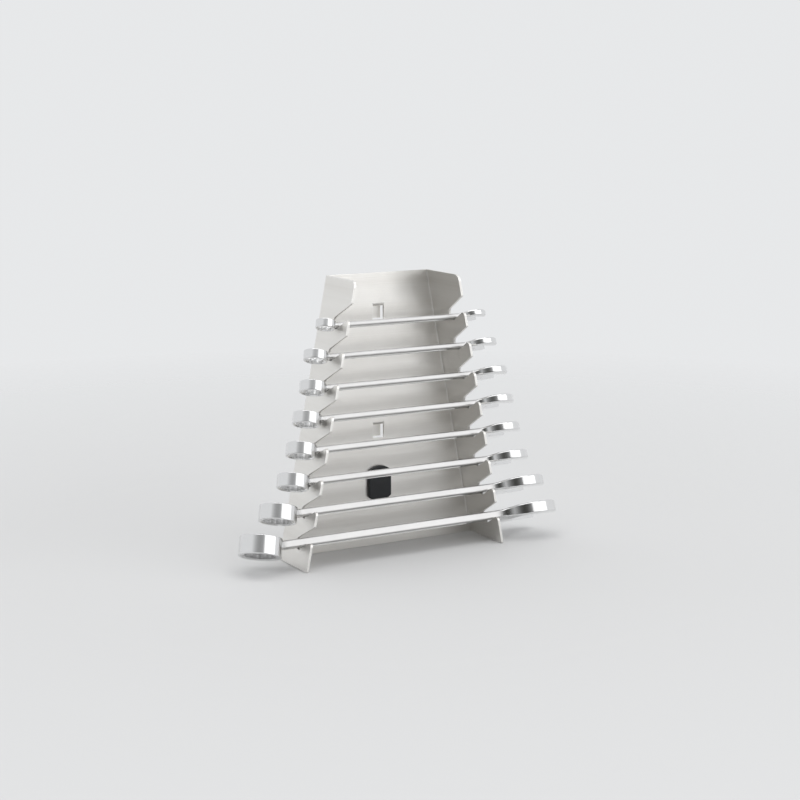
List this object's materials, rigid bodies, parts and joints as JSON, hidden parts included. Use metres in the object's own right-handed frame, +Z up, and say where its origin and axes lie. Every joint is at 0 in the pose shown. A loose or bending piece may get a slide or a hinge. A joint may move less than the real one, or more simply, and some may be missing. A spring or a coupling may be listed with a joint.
{
  "type": "wrench rack",
  "caption": "Folded sheet-metal rack that hooks into a perforated panel, narrow at the top and wide at the foot, with slotted slanted flanges holding combination wrenches.",
  "frame": {"origin": "middle of the back plate's lower edge, on its rear face, where the rack touches the panel", "axes": "+X right as seen from the front, along the wrenches; +Y backward into the panel; +Z up"},
  "size_m": [0.2255, 0.0535, 0.1755],
  "materials": {
    "rack_sheet": "satin zinc-plated sheet",
    "clip_plastic": "moulded black, slightly grained",
    "wrench_steel": "satin chrome on the shanks, polished on the ring and jaw faces"
  },
  "bodies": {
    "root": {"rack": "rack_sheet", "panel_clip": "clip_plastic", "wrench_8mm": "wrench_steel", "wrench_10mm": "wrench_steel", "wrench_11mm": "wrench_steel", "wrench_12mm": "wrench_steel", "wrench_13mm": "wrench_steel", "wrench_14mm": "wrench_steel", "wrench_17mm": "wrench_steel", "wrench_19mm": "wrench_steel"}
  },
  "joints": []
}
